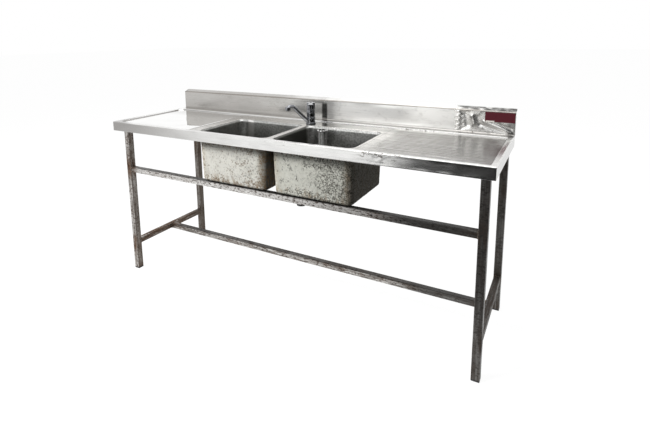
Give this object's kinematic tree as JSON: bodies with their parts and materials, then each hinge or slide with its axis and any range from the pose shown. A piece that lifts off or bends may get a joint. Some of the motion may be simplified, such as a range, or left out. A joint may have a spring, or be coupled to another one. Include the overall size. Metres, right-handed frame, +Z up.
{
  "type": "catering sink unit",
  "caption": "Free-standing stainless double-bowl sink with plain top, fluted drainer, splashback and swivel mixer tap on a tube frame.",
  "frame": {"origin": "on the floor under the middle of the unit", "axes": "+X along the unit to the drainer end, +Y towards the wall behind, +Z up"},
  "size_m": [2, 0.63, 1.009],
  "materials": {
    "worktop_steel": "worn polish with fine scratches",
    "plate_steel": "brushed satin",
    "bowl_steel": "satin, dulled by use",
    "bowl_coating": "granular sprayed sound coating, flecked",
    "frame_steel": "worn grey tube with stains at the welds",
    "zinc_steel": "zinc plated",
    "waste_steel": "polished",
    "chrome": "polished chrome plate",
    "cast_brass": "plain cast and turned",
    "copper": "drawn copper, dulled",
    "black_plastic": "matt moulded",
    "white_plastic": "matt moulded",
    "index_plastic": "gloss moulded",
    "rubber": "matt",
    "label_film": "satin film, blank",
    "sticker_film": "matt paper, blank"
  },
  "bodies": {
    "frame": {"deck_nuts": "zinc_steel", "deck_studs": "zinc_steel", "drain_tee": "black_plastic", "drainer_stiffener": "zinc_steel", "front_left_foot": "black_plastic", "front_left_head_plate": "frame_steel", "front_left_leg": "frame_steel", "front_rail": "frame_steel", "front_right_foot": "black_plastic", "front_right_head_plate": "frame_steel", "front_right_leg": "frame_steel", "front_stiffener": "zinc_steel", "label_plate": "label_film", "label_sticker": "sticker_film", "left_back_nut": "black_plastic", "left_bowl": "bowl_steel", "left_bowl_coat": "bowl_coating", "left_deck_stiffener": "zinc_steel", "left_drain_elbow": "black_plastic", "left_low_rail": "frame_steel", "left_strainer": "waste_steel", "left_tap_inlet": "copper", "left_top_rail": "frame_steel", "left_waste_flange": "waste_steel", "left_waste_seal": "rubber", "rear_left_foot": "black_plastic", "rear_left_leg": "frame_steel", "rear_left_leg_cap": "frame_steel", "rear_right_foot": "black_plastic", "rear_right_leg": "frame_steel", "rear_right_leg_cap": "frame_steel", "rear_top_rail": "frame_steel", "right_back_nut": "black_plastic", "right_bowl": "bowl_steel", "right_bowl_coat": "bowl_coating", "right_drain_elbow": "black_plastic", "right_low_rail": "frame_steel", "right_tap_inlet": "copper", "right_top_rail": "frame_steel", "right_waste_flange": "waste_steel", "right_waste_seal": "rubber", "sink_plate": "plate_steel", "stretcher": "frame_steel", "tap_back_nut": "cast_brass", "tap_body": "chrome", "tap_cartridge": "white_plastic", "tap_clamp_washer": "zinc_steel", "tap_dome": "chrome", "tap_foot_ring": "chrome", "tap_gasket": "rubber", "worktop": "worktop_steel"},
    "spout": {"tap_spout": "chrome", "tap_aerator": "white_plastic"},
    "mixer": {"tap_spindle": "cast_brass", "lever_pin": "cast_brass"},
    "lever": {"tap_lever": "chrome", "lever_index": "index_plastic"},
    "standpipe": {"standpipe": "waste_steel", "standpipe_plug": "rubber"}
  },
  "joints": [
    {"name": "spout_swivel", "type": "hinge", "parent": "frame", "child": "spout", "pos_m": [0.014, 0.132, 0.9078], "axis": [0, 0, 1], "range_deg": [-55, 85]},
    {"name": "mixer_turn", "type": "hinge", "parent": "frame", "child": "mixer", "pos_m": [0.014, 0.132, 0.9695], "axis": [0, 0, 1], "range_deg": [-73, 17]},
    {"name": "lever_lift", "type": "hinge", "parent": "mixer", "child": "lever", "pos_m": [0.014, 0.132, 0.9715], "axis": [-0.8829, -0.4695, 0], "range_deg": [0, 22]},
    {"name": "standpipe_lift", "type": "slide", "parent": "frame", "child": "standpipe", "axis": [0, 0, 1], "range_m": [0, 0.25]}
  ]
}
